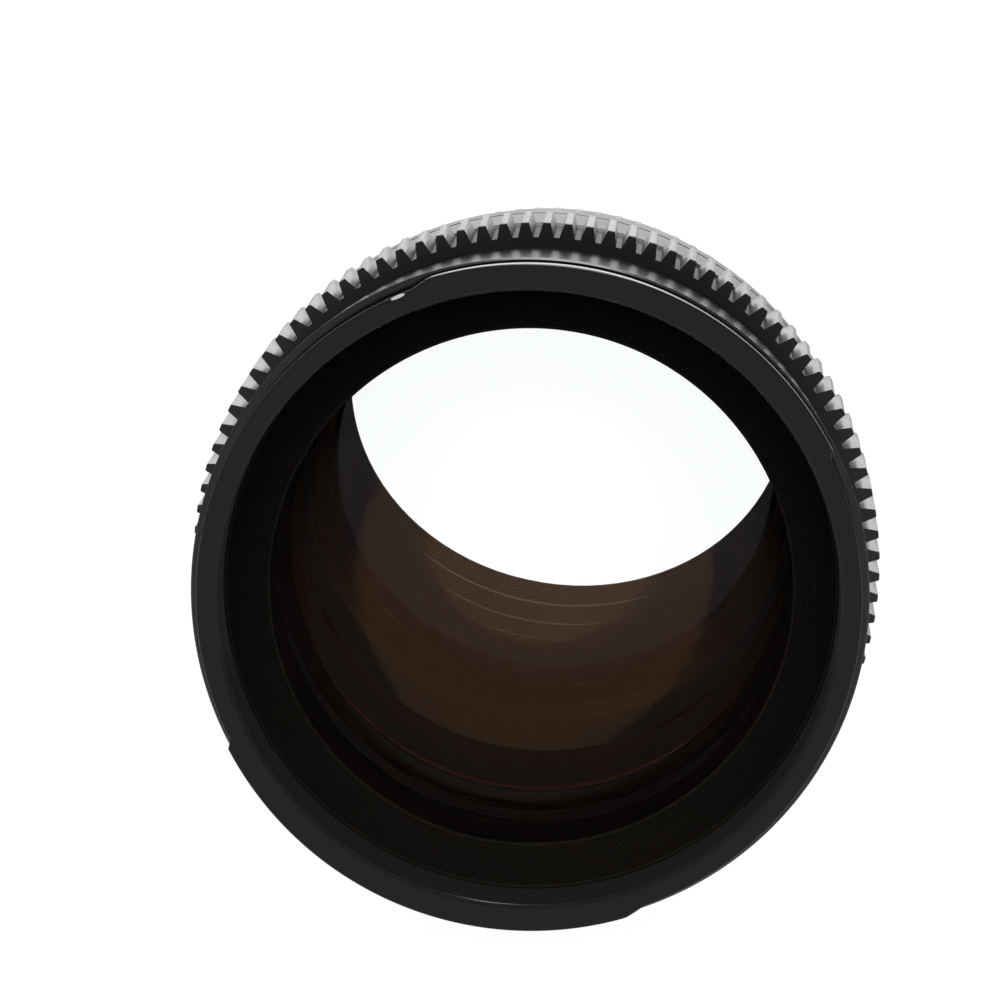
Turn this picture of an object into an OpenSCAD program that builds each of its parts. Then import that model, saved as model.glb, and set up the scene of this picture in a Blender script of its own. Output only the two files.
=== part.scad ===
// Cinema prime lens with geared focus and iris rings and a three-lug rear bayonet.
// The optical axis lies along Y, the front faces -Y and the origin is the middle of the rear flange.
// Depths run back from the front face, in millimetres. Clock angles run anticlockwise as seen from the front.

/* [Front ring] */
// Radius of the filter thread bore
filter_r = 35.6; // [35.2:0.1:36]
// Depth of the filter thread bore, down to the grooved ring
filter_depth = 8.2; // [7.6:0.1:9]
// Wall between the filter thread and the neck
neck_wall = 1.6; // [1.2:0.1:1.9]
// Width of the groove behind the hood lugs
neck_w = 1.6; // [1.2:0.1:2.4]
// Height of the front ring above the neck
front_ring_h = 0.85; // [0.5:0.05:1.2]
// Height of the hood lugs above the front ring
hood_lug_h = 0.7; // [0.4:0.05:1]
// Width of the hood lugs along the axis
hood_lug_w = 2; // [1.4:0.1:3]
// Angle that each hood lug spans
hood_lug_span = 78; // [50:1:90]
// Clock angle of the first hood lug's middle
hood_lug_angle = 66; // [0:1:180]
// Thickness of the grooved ring
name_ring_t = 1.6; // [1.2:0.1:2.4]
// Number of fine grooves in the grooved ring
groove_count = 16; // [10:1:20]
// Depth of the fine grooves
groove_h = 0.22; // [0.1:0.02:0.3]

/* [Barrels] */
// Step in from the filter thread to the main barrel's bore
bore_step = 2.4; // [1.8:0.1:2.6]
// Wall of the main barrel under the focus ring
barrel_wall = 2; // [1.7:0.1:2.2]
// Wall of the main barrel under the iris ring
rear_wall = 1.2; // [1:0.1:1.5]
// Wall of the front barrel over the filter ring
front_barrel_wall = 1.75; // [1.2:0.05:2]
// Depth of the focus gear's front face
front_len = 24.4; // [20:0.1:25]
// Narrowing of the front barrel, from its front edge back to the gear
barrel_draft = 0.8; // [0.2:0.1:1]

/* [Focus ring] */
// Gear module shared by both gears
gear_module = 0.8; // [0.5:0.1:1]
// Wall of the focus gear under its teeth
focus_gear_wall = 2; // [1.6:0.1:3]
// Width of the focus gear
focus_gear_w = 12; // [10:0.5:13]
// Width of the plain ring behind the focus gear
focus_scale_w = 11; // [9:0.5:13]
// Wall of the plain ring behind the focus gear
focus_ring_wall = 2.4; // [1.6:0.1:3]
// Wall of the cam sleeve
sleeve_wall = 1.7; // [1.4:0.1:1.9]
// Turn of the focus ring from end to end
focus_turn = 150; // [90:5:150]
// Forward travel of the focusing cell
focus_travel = 5; // [4:0.1:5.5]
// Radius of the cam rollers
roller_r = 1.2; // [0.9:0.05:1.3]
// Distance of the rollers behind the focusing cell's front
roller_inset = 3.75; // [3:0.05:4.5]

/* [Iris ring] */
// Wall of the iris gear under its teeth
iris_gear_wall = 0.7; // [0.6:0.05:1]
// Width of the iris gear
iris_gear_w = 6.3; // [5:0.1:7]
// Width of the plain ring ahead of the iris gear
iris_scale_w = 12.3; // [11:0.1:13]
// Wall of the plain ring ahead of the iris gear
iris_ring_wall = 2.2; // [1.5:0.1:2.6]
// Wall of the sleeve under the iris gear
iris_sleeve_wall = 0.6; // [0.5:0.05:0.8]
// Turn of the iris ring from open to closed
iris_turn = 60; // [45:1:60]
// Radius of the iris drive pin
drive_pin_r = 1.2; // [0.8:0.05:1.4]

/* [Iris] */
// Step in from the third element's clear radius to the iris opening
stop_step = 0.8; // [0.4:0.1:2]
// Thickness of an iris blade
blade_t = 0.2; // [0.1:0.01:0.22]
// Space between blades, one level to the next
blade_gap = 0.05; // [0.04:0.01:0.08]
// Width of a blade
blade_w = 7.2; // [6:0.1:7.2]
// Angle that a blade's body spans
blade_span = 125; // [110:1:130]
// Swing of a blade from open to closed
blade_swing = 38; // [20:1:38]
// Distance from a blade's pivot to its cam pin
blade_arm = 4.4; // [4.2:0.1:4.6]
// Radius of the blade pivots
pivot_r = 0.6; // [0.4:0.05:0.7]
// Radius of the blade cam pins
cam_pin_r = 0.5; // [0.35:0.05:0.55]
// Thickness of the iris base plate
base_t = 0.6; // [0.4:0.05:0.8]
// Thickness of the iris cam ring
cam_t = 0.9; // [0.6:0.05:1.2]
// Thickness of the iris cover ring
cover_t = 0.6; // [0.4:0.05:0.8]

/* [Glass] */
// Step in from the barrel's bore to the front element's edge
e1_step = 2.2; // [1.8:0.1:2.6]
// Curve of the front element's front
e1_front_curve = 63.5; // [60:0.5:70]
// Curve of the front element's back
e1_back_curve = 600; // [400:10:800]
// Thickness of the front element at its edge
e1_edge = 1.72; // [1.5:0.02:2.6]
// Step in from the front element's edge to the grooved ring's opening
front_lip = 0.7; // [0.5:0.1:1.2]
// Air behind the front element
air_1 = 0.5; // [0.4:0.1:1.5]
// Step in from the front element's edge to the second element's edge
e2_step = 3.8; // [3.4:0.1:4.4]
// Curve of the second element's front
e2_front_curve = 42.5; // [41:0.5:46]
// Curve of the second element's back
e2_back_curve = 79.5; // [76:0.5:90]
// Thickness of the second element
e2_t = 9; // [8:0.1:10]
// Air behind the second element
air_2 = 3; // [2.8:0.1:4]
// Step in from the second element's edge to the third element's edge
e3_step = 2.8; // [2.6:0.1:3.8]
// Step in from the third element's edge to its clear radius behind
e3_lip = 3.8; // [3.4:0.1:4.2]
// Curve of the third element's front
e3_front_curve = 222; // [200:2:260]
// Curve of the third element's back
e3_back_curve = 29; // [28:0.2:31]
// Thickness of the third element
e3_t = 2.6; // [2:0.1:3.2]
// Step out from the iris opening to the cemented pair's edge
e4_step = 2.8; // [2.2:0.1:3.2]
// Step in from the cemented pair's edge to its clear radius in front
e4_lip = 3; // [2.6:0.1:3.4]
// Curve of the fourth element's front
e4_front_curve = 35; // [34:0.5:38]
// Thickness of the fourth element
e4_t = 2.6; // [2:0.1:3.2]
// Curve of the fifth element's back
e5_back_curve = 41; // [39:0.5:44]
// Thickness of the fifth element
e5_t = 12; // [11:0.1:13]
// Air behind the cemented pair
air_5 = 0.5; // [0.4:0.1:1.5]
// Step in from the cemented pair's edge to the sixth element's edge
e6_step = 0.8; // [0.4:0.1:1.2]
// Curve of the sixth element's front
e6_front_curve = 100; // [90:1:110]
// Curve of the sixth element's back
e6_back_curve = 270; // [240:5:320]
// Thickness of the sixth element
e6_t = 7; // [6:0.1:8]

/* [Rear mount] */
// Radius of the mount flange
flange_r = 32.5; // [31.5:0.1:33]
// Thickness of the mount flange
flange_t = 4; // [3:0.1:5]
// Thickness of the rear barrel's back plate
back_plate_t = 2.7; // [2:0.1:4]
// Width of the flange's seat, from its rim in to the bayonet spigot
flange_seat = 7.1; // [6.9:0.1:7.5]
// Wall of the bayonet spigot
spigot_wall = 2.2; // [1.6:0.1:2.6]
// Length of the bayonet spigot behind the flange
spigot_len = 5.2; // [4.8:0.1:6]
// Height of the bayonet lugs above the spigot
lug_h = 1.5; // [1:0.05:1.6]
// Thickness of the bayonet lugs
lug_t = 1.5; // [1:0.1:1.6]
// Space between the flange and the bayonet lugs
lug_space = 1.7; // [1.4:0.1:2]
// Step in from the spigot to the pilot nose behind the bayonet lugs
nose_step = 0.6; // [0.4:0.1:0.8]
// Depth of the relief in the flange round the spigot's foot
relief_h = 0.3; // [0.2:0.05:0.5]
// Angle that each bayonet lug spans
lug_span = 56; // [40:1:60]
// Step in from the spigot's bore to the rear light opening
baffle_step = 8.9; // [8:0.1:10]
// Length of the rear light tube behind the bayonet spigot
tube_len = 10.5; // [6:0.5:14]
// Step out from the rear light opening to the outside of the light tube
tube_step = 4.2; // [3.8:0.1:4.8]
// Distance of the mount screws from the flange's rim
screw_inset = 3.3; // [3.2:0.1:4]
// Thread radius of the mount screws
screw_r = 1; // [0.8:0.05:1.1]

/* [Fits] */
// Radial clearance between pieces that turn or slide on each other
run_gap = 0.06; // [0.04:0.01:0.08]
// Clearance between pieces that are screwed or pressed together
fit_gap = 0.04; // [0.02:0.01:0.06]
// Space between the ends of rings that turn past each other
ring_gap = 0.3; // [0.2:0.05:0.4]

/* [Hidden] */
// Facets of a circle
$fn = 96;
// How far cuts run past the faces they open
over = 1;
// Number of iris blades
blade_count = 8;
// Width of the chamfers on turned edges
chamfer = 0.4;

// Depth of a spherical surface at height h from its axis
function sag(curve, h) = curve - sqrt(curve * curve - h * h);

// Radii from the main barrel outwards
bore_r = filter_r - bore_step;
main_r = bore_r + barrel_wall;
main_rear_r = bore_r + rear_wall;
cell_r = bore_r - run_gap;
sleeve_in = main_r + run_gap;
sleeve_r = sleeve_in + sleeve_wall;
focus_ring_in = sleeve_r + fit_gap;
focus_ring_r = focus_ring_in + focus_ring_wall;
neck_r = filter_r + neck_wall;
front_ring_r = neck_r + front_ring_h;
hood_lug_r = front_ring_r + hood_lug_h;
counterbore_r = neck_r + fit_gap;
front_barrel_r = counterbore_r + front_barrel_wall;
iris_in = main_rear_r + run_gap;
iris_sleeve_r = iris_in + iris_sleeve_wall;
iris_ring_r = iris_in + iris_ring_wall;

// Radii of the glass and the iris opening
e1_rad = bore_r - e1_step;
front_clear = e1_rad - front_lip;
e2_rad = e1_rad - e2_step;
e3_rad = e2_rad - e3_step;
e3_clear = e3_rad - e3_lip;
stop_r = e3_clear - stop_step;
e4_rad = stop_r + e4_step;
e4_clear = e4_rad - e4_lip;
e6_rad = e4_rad - e6_step;

// Depths of the front glass
name_back = filter_depth + name_ring_t;
e1_rim = name_back + fit_gap;
e1_front = e1_rim - sag(e1_front_curve, e1_rad);
e1_back_rim = e1_rim + e1_edge;
e1_back = e1_back_rim - sag(e1_back_curve, e1_rad);
e2_front = e1_back + air_1;
e2_back = e2_front + e2_t;
e2_back_rim = e2_back + sag(e2_back_curve, e2_rad);
e3_front = e2_back + air_2;
e3_back = e3_front + e3_t;
e3_back_rim = e3_back + sag(e3_back_curve, e3_clear);

// Depths of the front cell
cell_flange_t = 1.7;
cell_flange_back = e1_rim + cell_flange_t;
cell_lip_t = 0.8;
cell_lip_front = e3_back_rim + fit_gap;
front_cell_back = cell_lip_front + cell_lip_t;
main_front = cell_flange_back + fit_gap;
spacer_wall = 0.9;
spacer_in = e2_rad - spacer_wall;
spacer_front = e1_back_rim + fit_gap;
spacer_back = e2_front + sag(e2_front_curve, spacer_in) - fit_gap;
spacer_lip = 0.8;
spacer_foot = 0.7;
spacer_step = spacer_back - spacer_foot;

// Depths of the iris
base_front = front_cell_back + fit_gap;
base_back = base_front + base_t;
blade_pitch = blade_t + blade_gap;
cam_front = base_back + blade_gap + blade_count * blade_pitch;
cam_back = cam_front + cam_t;
cover_front = cam_back + run_gap;
cover_back = cover_front + cover_t;

// Depths of the focusing cell
travel_margin = 0.5;
focus_cell_front = cover_back + focus_travel + travel_margin;
focus_lip_t = 1;
e4_rim = focus_cell_front + focus_lip_t + fit_gap;
e4_front = e4_rim + sag(e4_front_curve, e4_clear);
e4_back = e4_front + e4_t;
e5_back = e4_back + e5_t;
e5_back_rim = e5_back - sag(e5_back_curve, e4_rad);
e6_front = e5_back + air_5;
e6_front_rim = e6_front + sag(e6_front_curve, e6_rad);
e6_back = e6_front + e6_t;
e6_back_rim = e6_back - sag(e6_back_curve, e6_rad);
retainer_w = 1.8;
retainer_t = 1.06;
retainer_in = e6_rad - retainer_w;
retainer_front = e6_back - sag(e6_back_curve, retainer_in) + fit_gap;
focus_cell_back = retainer_front + retainer_t;
roller_depth = focus_cell_front + roller_inset;

// Depths of the outer rings
barrel_front = hood_lug_w + neck_w;
gear_front = front_len;
gear_back = gear_front + focus_gear_w;
focus_back = gear_back + focus_scale_w;
index_front = focus_back + ring_gap;
index_flange_t = 0.8;
sleeve_end_wall = 1;
sleeve_back = roller_depth + roller_r + run_gap + sleeve_end_wall;
index_back = sleeve_back + ring_gap + index_flange_t;
iris_front = index_back + ring_gap;
iris_gear_front = iris_front + iris_scale_w;
iris_back = iris_gear_front + iris_gear_w;
rear_front = iris_back + ring_gap;
drive_pin_inset = 2.8;
drive_pin_depth = iris_front + drive_pin_inset;
tab_end_wall = 1.3;
tab_back = drive_pin_depth + drive_pin_r + tab_end_wall;
land_front = tab_back + focus_travel + travel_margin;

// Depths of the rear
main_back = focus_cell_back + travel_margin;
plate_front = main_back + fit_gap;
rear_back = plate_front + back_plate_t;
lens_len = rear_back + flange_t;
lug_front = lens_len + lug_space;
lug_back = lug_front + lug_t;
spigot_back = lens_len + spigot_len;

// Radii of the rear
spigot_r = flange_r - flange_seat;
spigot_in = spigot_r - spigot_wall;
rear_open_r = spigot_in - baffle_step;
screw_circle_r = flange_r - screw_inset;
screw_angles = [45:90:315];
screw_floor = 0.6;
screw_front = plate_front + screw_floor;

// Gears: the teeth are as many as the ring under them has room for
tooth_top = gear_module;
tooth_foot = 1.25 * gear_module;
focus_gear_root = focus_ring_in + focus_gear_wall;
focus_teeth = round(2 * (focus_gear_root + tooth_foot) / gear_module);
iris_gear_in = iris_sleeve_r + fit_gap;
iris_gear_root = iris_gear_in + iris_gear_wall;
iris_teeth = round(2 * (iris_gear_root + tooth_foot) / gear_module);
focus_pitch_r = gear_module * focus_teeth / 2;
iris_pitch_r = gear_module * iris_teeth / 2;

// Blade and cam layout
blade_clear = 0.2;
blade_in = stop_r + blade_clear;
blade_out = blade_in + blade_w;
pivot_clear = 0.4;
pivot_circle = blade_out + pivot_clear + pivot_r;
pivot_wall = 1;
blade_ear = pivot_r + pivot_wall;
cam_pin_wall = 0.8;
cam_ear = cam_pin_r + cam_pin_wall;
blade_ratio = blade_swing / iris_turn;
cam_wall = 1;
cam_in = pivot_circle - cam_wall;
tab_room = 0.8;
tab_t = 2.2;
tab_out = bore_r - tab_room;
tab_in = tab_out - tab_t;
tab_half = 6;
tab_angle = 240;
roller_angles = [90, 210, 330];
ear_half = 9;
cell_wall = 3.2;
cell_tube_r = e4_rad + fit_gap + cell_wall;
roller_seat_r = (cell_r + cell_tube_r) / 2;

// Red alignment dot on the flange's rim
dot_r = 1.1;
dot_deep = 0.8;
dot_sunk = 0.1;
dot_depth = lens_len - flange_t / 2;
dot_angle = 90;

// Set screws of the focus ring
set_screw_r = 0.9;
set_screw_deep = 0.8;
set_screw_sunk = 0.3;
set_screw_angles = [30, 150, 270];
set_screw_depth = gear_back + focus_scale_w / 4;

// Set screws of the iris gear
iris_screw_r = 0.6;
iris_screw_clear = 0.1;
iris_screw_angles = [30, 150, 270];
iris_screw_depth = iris_gear_front + iris_gear_w / 2;

// Finishes
black = "#2b2a2b";
dark = "#1b1b1c";
glass = "#8fa6b8";
steel = "#b9bcc0";
brass = "#b59a58";
blade_black = "#202022";

// Turns depth along the axis into the part's own frame
module place() {
  translate([0, -lens_len, 0]) rotate([90, 0, 0]) children();
}

// Ring turned from an outline of [radius, depth] points
module lathe(points) {
  rotate_extrude() polygon([for (p = points) [p[0], -p[1]]]);
}

// Plain ring between two radii and two depths
module tube(inner, outer, front, back) {
  lathe([[inner, front], [outer, front], [outer, back], [inner, back]]);
}

// Solid disc between two depths
module disc(outer, front, back) {
  translate([0, 0, -back]) cylinder(r = outer, h = back - front);
}

// Part of a ring between two clock angles
module ring_sector(inner, outer, front, back, angle_1, angle_2) {
  rotate([0, 0, angle_1]) rotate_extrude(angle = angle_2 - angle_1)
    translate([inner, -back]) square([outer - inner, back - front]);
}

// Pin or hole that points out from the axis
module radial_pin(radius, inner, outer, depth, angle) {
  rotate([0, 0, angle]) translate([inner, 0, -depth]) rotate([0, 90, 0])
    cylinder(r = radius, h = outer - inner);
}

// Lens element between two vertices; a negative curve bulges towards the back
module element(radius, front, front_curve, back, back_curve, rim_front, rim_back) {
  difference() {
    intersection() {
      disc(radius, rim_front, rim_back);
      if (front_curve > 0) ball(front + front_curve, front_curve);
      if (back_curve < 0) ball(back + back_curve, -back_curve);
    }
    if (front_curve < 0) ball(front + front_curve, -front_curve);
    if (back_curve > 0) ball(back + back_curve, back_curve);
  }
}

// Sphere about a point on the axis, finer as it grows
module ball(depth, radius) {
  translate([0, 0, -depth]) sphere(r = radius, $fn = 4 * ceil(8 * sqrt(radius)));
}

// Outline of a gear with straight-flanked teeth and a valley on the horizontal
module gear_outline(teeth, pitch_r) {
  pitch = 360 / teeth;
  tip_share = 0.333;
  foot_share = 0.74;
  tip_half = pitch * tip_share / 2;
  foot_half = pitch * foot_share / 2;
  top_r = pitch_r + tooth_top;
  foot_r = pitch_r - tooth_foot;
  corners = [[foot_r, -foot_half], [top_r, -tip_half], [top_r, tip_half], [foot_r, foot_half]];
  polygon([for (i = [0:teeth - 1]) for (c = corners)
    let (a = (i + 0.5) * pitch + c[1]) c[0] * [cos(a), sin(a)]]);
}

// Toothed ring with a plain bore and chamfered tooth ends
module gear_ring(teeth, pitch_r, inner, front, back) {
  top_r = pitch_r + tooth_top;
  intersection() {
    difference() {
      translate([0, 0, -back]) linear_extrude(back - front) gear_outline(teeth, pitch_r);
      disc(inner, front - over, back + over);
    }
    lathe([[inner - over, front], [top_r - chamfer, front], [top_r + over, front + chamfer + over],
      [top_r + over, back - chamfer - over], [top_r - chamfer, back], [inner - over, back]]);
  }
}

// Slots that follow a helix through the cam sleeve
module helix_slot(start_angle) {
  half = roller_r + run_gap;
  end_turn = 2.4;
  steps = 40;
  rise = focus_travel / focus_turn;
  r_in = sleeve_in - over;
  r_out = sleeve_r + over;
  turns = [for (i = [0:steps]) -end_turn + (focus_turn + 2 * end_turn) * i / steps];
  section = [[r_in, -half], [r_out, -half], [r_out, half], [r_in, half]];
  points = [for (t = turns) for (s = section)
    let (a = start_angle - t, z = -(roller_depth - rise * t)) [s[0] * cos(a), s[0] * sin(a), z + s[1]]];
  sides = [for (i = [0:steps - 1]) for (j = [0:3])
    let (a = 4 * i + j, b = 4 * i + (j + 1) % 4) each [[a, b + 4, b], [a, a + 4, b + 4]]];
  last = 4 * steps;
  ends = [[0, 2, 3], [0, 1, 2], [last, last + 2, last + 1], [last, last + 3, last + 2]];
  polyhedron(points = points, faces = concat(sides, ends));
}

// Place of a blade's cam pin as the iris ring turns, seen from the cam ring
function cam_point(turn) =
  let (psi = -90 + blade_ratio * turn,
    x = pivot_circle + blade_arm * cos(psi),
    y = blade_arm * sin(psi))
  [x * cos(turn) + y * sin(turn), y * cos(turn) - x * sin(turn)];

// Unit vector across the cam slot at a turn of the iris ring
function cam_across(turn) =
  let (d = cam_point(turn + 0.01) - cam_point(turn - 0.01))
  [-d[1], d[0]] / norm(d);

// Cam slot outline, wide enough for the cam pin
module cam_slot() {
  half = cam_pin_r + run_gap;
  steps = 24;
  turns = [for (i = [0:steps]) iris_turn * i / steps];
  polygon(concat(
    [for (t = turns) cam_point(t) + half * cam_across(t)],
    [for (i = [steps:-1:0]) cam_point(turns[i]) - half * cam_across(turns[i])]));
  translate(cam_point(0)) circle(r = half);
  translate(cam_point(iris_turn)) circle(r = half);
}

// Blade outline: an arched strip with an ear for the pivot and an arm for the cam pin
module blade_outline() {
  reach = 2 * blade_out;
  middle = (blade_in + blade_out) / 2;
  intersection() {
    difference() {
      circle(r = blade_out);
      circle(r = blade_in);
    }
    polygon([[0, 0], reach * [1, 0], reach * [cos(blade_span / 2), sin(blade_span / 2)],
      reach * [cos(blade_span), sin(blade_span)]]);
  }
  for (a = [0, blade_span]) rotate(a) translate([middle, 0]) circle(d = blade_w);
  translate([pivot_circle, 0]) circle(r = blade_ear);
  translate([pivot_circle - cam_ear, -blade_arm]) square([2 * cam_ear, blade_arm]);
  translate([pivot_circle, -blade_arm]) circle(r = cam_ear);
}

// One blade at its own level, with its pivot pin in front and its cam pin behind
module blade(level) {
  front = base_back + blade_gap + (level - 1) * blade_pitch;
  back = front + blade_t;
  color(blade_black) place() rotate([0, 0, (level - 1) * 360 / blade_count]) {
    translate([0, 0, -back]) linear_extrude(blade_t) blade_outline();
    translate([pivot_circle, 0, 0]) disc(pivot_r, base_front + fit_gap, back);
    translate([pivot_circle, -blade_arm, 0]) disc(cam_pin_r, front, cam_back - fit_gap);
  }
}

// Front ring with its filter thread bore, chamfered mouth and two hood lugs
module filter_ring() {
  spread = 1.6;
  half = hood_lug_span / 2;
  far = 2 * hood_lug_r;
  near_corner = front_ring_r * [cos(half + spread), sin(half + spread)];
  far_corner = near_corner + far * ([cos(half), sin(half)] * hood_lug_r - near_corner);
  color(black) place() difference() {
    union() {
      lathe([[filter_r, 0], [front_ring_r - chamfer, 0], [front_ring_r, chamfer],
        [front_ring_r, hood_lug_w], [neck_r, hood_lug_w], [neck_r, name_back], [filter_r, name_back]]);
      for (turn = [0, 180]) rotate([0, 0, hood_lug_angle + turn]) intersection() {
        lathe([[neck_r - over / 2, 0], [hood_lug_r - chamfer, 0], [hood_lug_r, chamfer],
          [hood_lug_r, hood_lug_w], [neck_r - over / 2, hood_lug_w]]);
        translate([0, 0, -hood_lug_w - over]) linear_extrude(hood_lug_w + 2 * over)
          polygon([[0, 0], near_corner, far_corner, [far_corner[0], -far_corner[1]],
            [near_corner[0], -near_corner[1]]]);
      }
    }
    lathe([[0, -over], [filter_r + chamfer + over, -over], [filter_r, chamfer], [0, chamfer]]);
  }
}

// Flat retaining ring round the front glass, with fine concentric grooves
module name_ring() {
  outer = filter_r - fit_gap;
  land = 0.3;
  pitch = (outer - front_clear - 2 * land) / groove_count;
  ridges = [for (i = [0:groove_count - 1]) for (p = [[0, 0], [pitch / 2, groove_h]])
    [front_clear + land + i * pitch + p[0], filter_depth + p[1]]];
  color(dark) place() lathe(concat([[front_clear, filter_depth]], ridges, [[outer - land, filter_depth],
    [outer, filter_depth], [outer, name_back], [e1_rad + fit_gap, name_back],
    [front_clear, filter_depth + name_ring_t / 2]]));
}

// Cell that holds the three front elements, with a stepped bore and a seating flange
module front_cell() {
  color(dark) place() lathe([
    [e1_rad + fit_gap, e1_rim], [main_r, e1_rim], [main_r, cell_flange_back], [cell_r, cell_flange_back],
    [cell_r, front_cell_back], [e3_clear, front_cell_back], [e3_clear, cell_lip_front],
    [e3_rad + fit_gap, cell_lip_front], [e3_rad + fit_gap, e2_back_rim + fit_gap],
    [e2_rad + fit_gap, e2_back_rim + fit_gap], [e2_rad + fit_gap, spacer_step],
    [e1_rad + fit_gap, spacer_step]]);
}

module front_element() {
  color(glass) place()
    element(e1_rad, e1_front, e1_front_curve, e1_back, e1_back_curve, e1_front, e1_back_rim);
}

// Conical ring that keeps the first two elements apart
module front_spacer() {
  shelf = spacer_step - fit_gap;
  color(dark) place() lathe([
    [e1_rad - spacer_lip, spacer_front], [e1_rad, spacer_front], [e1_rad, shelf], [e2_rad, shelf],
    [e2_rad, spacer_back], [spacer_in, spacer_back]]);
}

module second_element() {
  color(glass) place()
    element(e2_rad, e2_front, e2_front_curve, e2_back, e2_back_curve, e2_front, e2_back_rim);
}

module third_element() {
  color(glass) place()
    element(e3_rad, e3_front, e3_front_curve, e3_back, e3_back_curve, e3_front, e3_back_rim);
}

// Fixed tube with three straight roller slots and one arc slot for the iris drive pin
module main_barrel() {
  step = sleeve_back + ring_gap + index_flange_t;
  slot_half = roller_r + run_gap;
  pin_half = drive_pin_r + run_gap;
  pin_spare = 0.5;
  pin_turn = asin(pin_half / bore_r) + pin_spare;
  color(dark) place() difference() {
    lathe([[bore_r, main_front], [main_r, main_front], [main_r, step], [main_rear_r, step],
      [main_rear_r, main_back], [bore_r, main_back]]);
    for (a = roller_angles) {
      rotate([0, 0, a]) translate([bore_r - over, -slot_half, -roller_depth])
        cube([barrel_wall + 2 * over, 2 * slot_half, focus_travel]);
      radial_pin(slot_half, bore_r - over, main_r + over, roller_depth, a);
      radial_pin(slot_half, bore_r - over, main_r + over, roller_depth - focus_travel, a);
    }
    ring_sector(bore_r - over, main_r + over, drive_pin_depth - pin_half, drive_pin_depth + pin_half,
      tab_angle - pin_turn, tab_angle + iris_turn + pin_turn);
  }
}

// Smooth outer barrel between the front ring and the focus gear, tapered towards the gear
module front_barrel() {
  back = gear_front - ring_gap;
  back_r = front_barrel_r - barrel_draft;
  inner = main_r + fit_gap;
  color(black) place() lathe([
    [counterbore_r, barrel_front], [front_barrel_r - chamfer, barrel_front],
    [front_barrel_r, barrel_front + chamfer], [back_r, back - chamfer],
    [back_r - chamfer, back], [inner, back], [inner, name_back + fit_gap],
    [counterbore_r, name_back + fit_gap]]);
}

// Plate that carries the eight blade pivots
module iris_base_plate() {
  color(dark) place() difference() {
    tube(stop_r, cell_r, base_front, base_back);
    for (i = [0:blade_count - 1]) rotate([0, 0, i * 360 / blade_count]) translate([pivot_circle, 0, 0])
      disc(pivot_r + run_gap, base_front - over, base_back + over);
  }
}

// Ring that keeps the cam ring in place, open where the forked tab sweeps
module iris_cover_ring() {
  spare = 3;
  clear = tab_half + spare;
  color(dark) place()
    ring_sector(pivot_circle, cell_r, cover_front, cover_back,
      tab_angle + iris_turn + clear, tab_angle - clear + 360);
}

// Fixed ring between the focus and iris rings that carries the index line
module index_ring() {
  inner = sleeve_r + ring_gap;
  outer = focus_ring_r;
  flange_front = index_back - index_flange_t;
  color(black) place() lathe([
    [inner, index_front], [outer - chamfer, index_front], [outer, index_front + chamfer],
    [outer, index_back - chamfer], [outer - chamfer, index_back], [main_r + fit_gap, index_back],
    [main_r + fit_gap, flange_front], [inner, flange_front]]);
}

// Tapered rear cover with the back plate that the mount screws into
module rear_barrel() {
  rise = 0.4;
  rim = 0.6;
  shoulder = iris_ring_r + rise;
  inner = main_rear_r + fit_gap;
  color(black) place() difference() {
    lathe([[inner, rear_front], [shoulder - chamfer, rear_front], [shoulder, rear_front + chamfer],
      [shoulder, plate_front], [flange_r + rim, rear_back], [spigot_r, rear_back],
      [spigot_r, plate_front], [inner, plate_front]]);
    mount_screw_holes(screw_r + fit_gap, screw_front, rear_back + over);
  }
}

module mount_screw_holes(radius, front, back) {
  for (a = screw_angles) rotate([0, 0, a]) translate([screw_circle_r, 0, 0]) disc(radius, front, back);
}

// Countersunk heads, level with the flange
module screw_heads(spare) {
  head_share = 1.9;
  head_r = head_share * screw_r + spare;
  for (a = screw_angles) rotate([0, 0, a]) translate([screw_circle_r, 0, -lens_len])
    cylinder(r1 = head_r, r2 = screw_r + spare, h = head_r - screw_r - spare);
}

// Bayonet mount: flange, spigot, three lugs and a lock pin slot
module mount_ring() {
  lock_w = 2.6;
  lock_deep = 2;
  nose_r = spigot_r - nose_step;
  relief_r = spigot_r + lug_h + fit_gap;
  lug_angles = [30, 150, 270];
  color(steel) place() difference() {
    union() {
      lathe([[spigot_in, rear_back + fit_gap], [flange_r - chamfer, rear_back + fit_gap],
        [flange_r, rear_back + fit_gap + chamfer], [flange_r, lens_len - chamfer],
        [flange_r - chamfer, lens_len], [relief_r, lens_len], [relief_r, lens_len - relief_h],
        [spigot_r, lens_len - relief_h], [spigot_r, lug_back], [nose_r, lug_back],
        [nose_r, spigot_back - chamfer], [nose_r - chamfer, spigot_back], [spigot_in, spigot_back]]);
      for (a = lug_angles) ring_sector(spigot_r - over, spigot_r + lug_h, lug_front, lug_back,
        a - lug_span / 2, a + lug_span / 2);
    }
    mount_screw_holes(screw_r + fit_gap, rear_back - over, lens_len + over);
    screw_heads(fit_gap);
    rotate([0, 0, 180]) translate([screw_circle_r, 0, -lens_len])
      cube([2 * lock_w, lock_w, 2 * lock_deep], center = true);
    radial_pin(dot_r + fit_gap, flange_r - dot_deep - fit_gap, flange_r + over, dot_depth, dot_angle);
  }
}

// Four countersunk screws with a slot in each head
module mount_screws() {
  slot_share = 0.4;
  color(steel) place() difference() {
    union() {
      mount_screw_holes(screw_r, screw_front + fit_gap, lens_len);
      screw_heads(0);
    }
    for (a = screw_angles) rotate([0, 0, a]) translate([screw_circle_r, 0, -lens_len])
      cube([4 * screw_r, slot_share * screw_r, screw_r], center = true);
  }
}

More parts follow.
